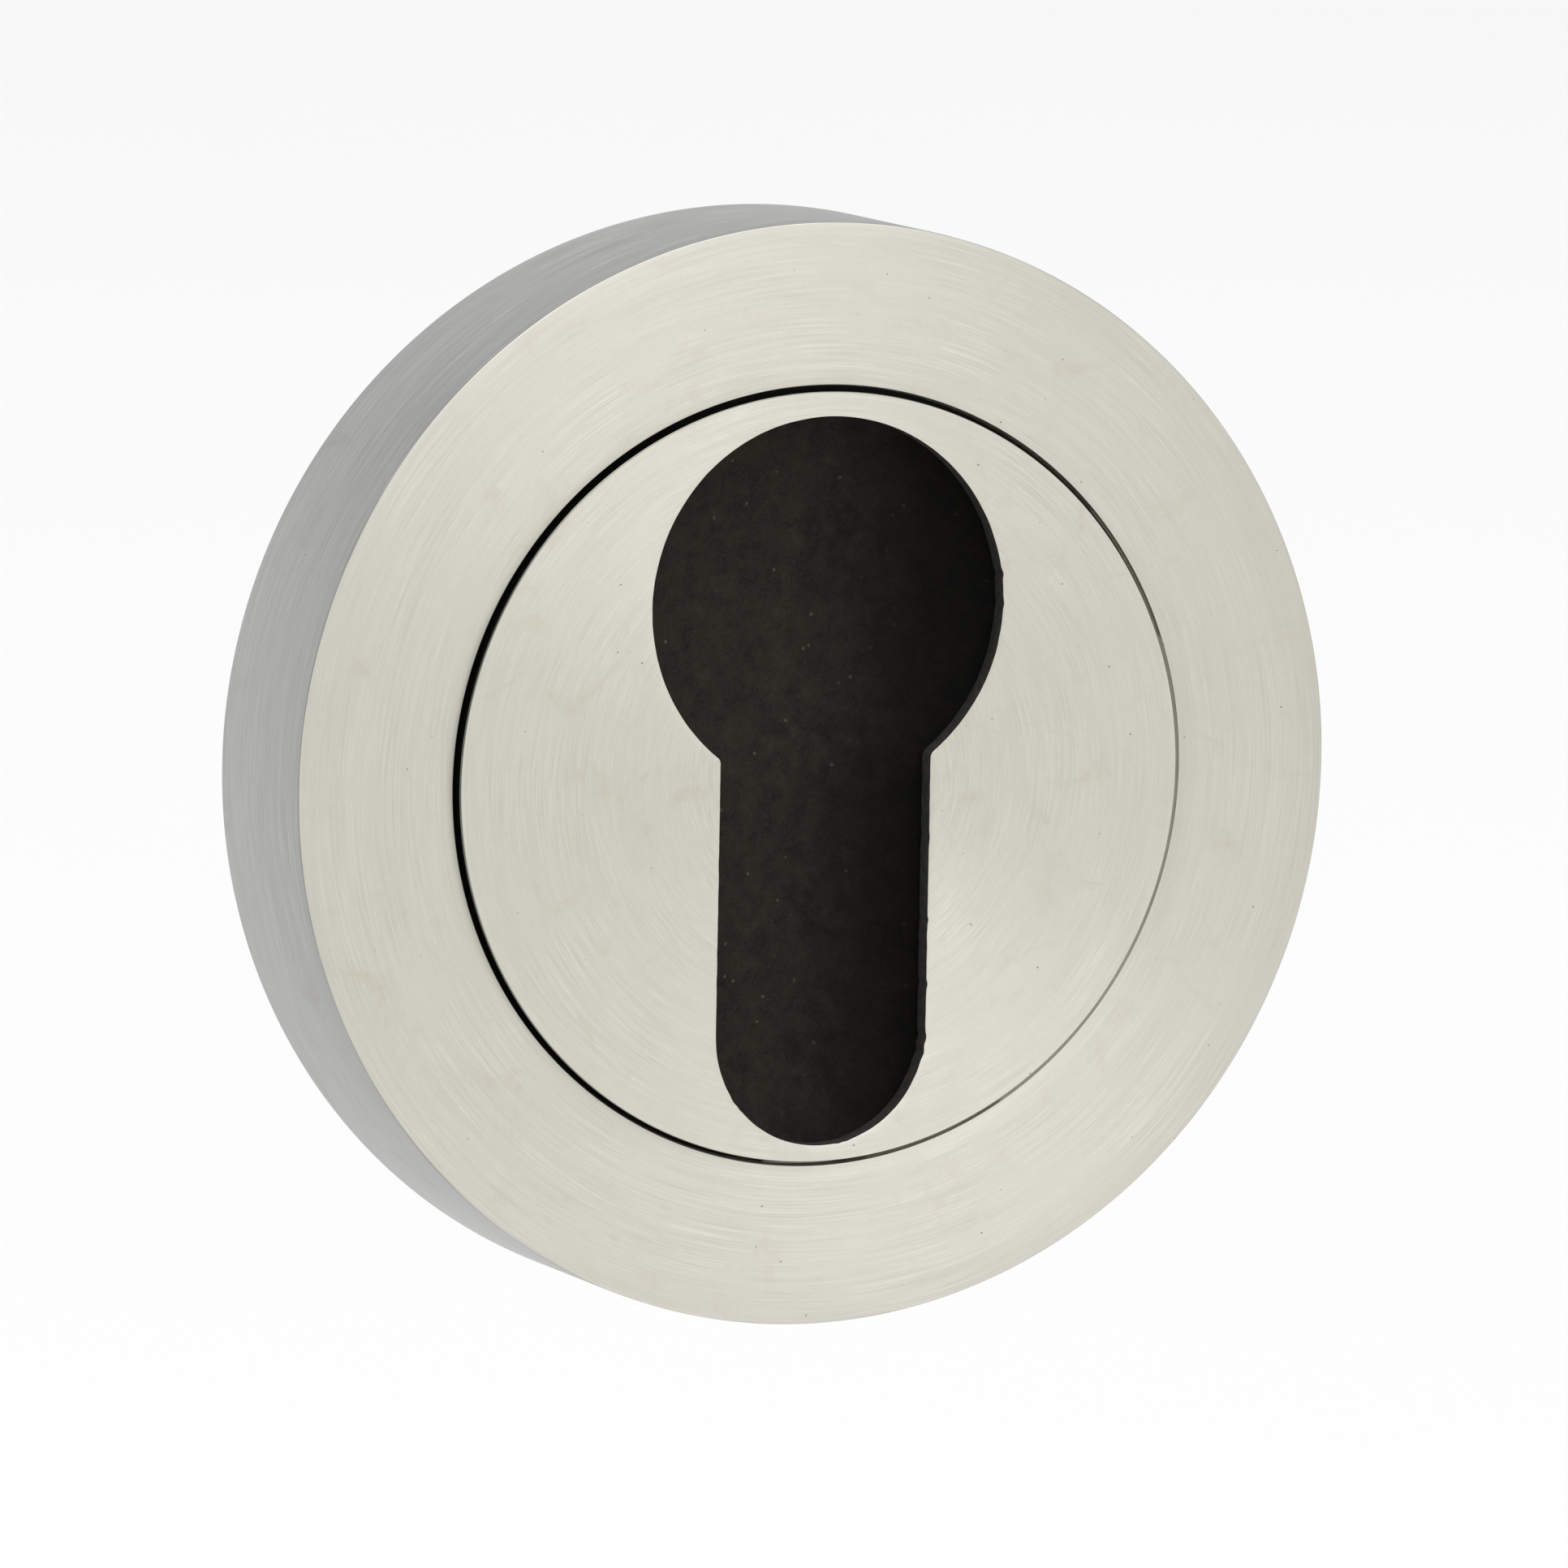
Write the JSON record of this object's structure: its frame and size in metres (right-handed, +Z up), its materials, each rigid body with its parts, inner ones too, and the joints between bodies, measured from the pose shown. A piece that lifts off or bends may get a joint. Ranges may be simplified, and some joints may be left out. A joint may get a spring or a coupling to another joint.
{
  "type": "euro cylinder escutcheon",
  "caption": "Round stainless escutcheon for a euro-profile lock cylinder: screw-on cover ring around a keyed face disc, over a fixed base.",
  "frame": {"origin": "on the escutcheon's axis, in the plane of the door's surface", "axes": "-Y points out of the door, towards the viewer; +Z is up, with the round end of the keyed hole at the top; +X is to the right seen from the front"},
  "size_m": [0.051, 0.0263, 0.051],
  "materials": {
    "stainless": "circular brushed, satin",
    "zinc": "die-cast zinc, matt",
    "nylon": "moulded black nylon, matt",
    "foam": "closed-cell foam, matt",
    "rubber": "satin",
    "spring_steel": "rolled strip",
    "plated_steel": "bright zinc plated"
  },
  "bodies": {
    "base": {"base_plate": "zinc", "door_gasket": "foam", "o_ring": "rubber", "fixing_screw_left": "plated_steel", "fixing_screw_right": "plated_steel"},
    "insert": {"face_disc": "stainless", "disc_carrier": "nylon", "push_nut_1": "spring_steel", "push_nut_2": "spring_steel", "push_nut_3": "spring_steel", "push_nut_4": "spring_steel", "wave_spring": "spring_steel"},
    "cover": {"cover_ring": "stainless", "threaded_liner": "zinc"}
  },
  "joints": [
    {"name": "insert_slide", "type": "slide", "parent": "base", "child": "insert", "axis": [0, -1, 0], "range_m": [0, 0.0023]},
    {"name": "cover_turn", "type": "hinge", "parent": "insert", "child": "cover", "pos_m": [0, 0, 0], "axis": [0, -1, 0], "range_deg": [0, 540]}
  ],
  "couplings": [
    {"joint": "insert_slide", "follows": "cover_turn", "m_per_rad": 0.00023873}
  ]
}
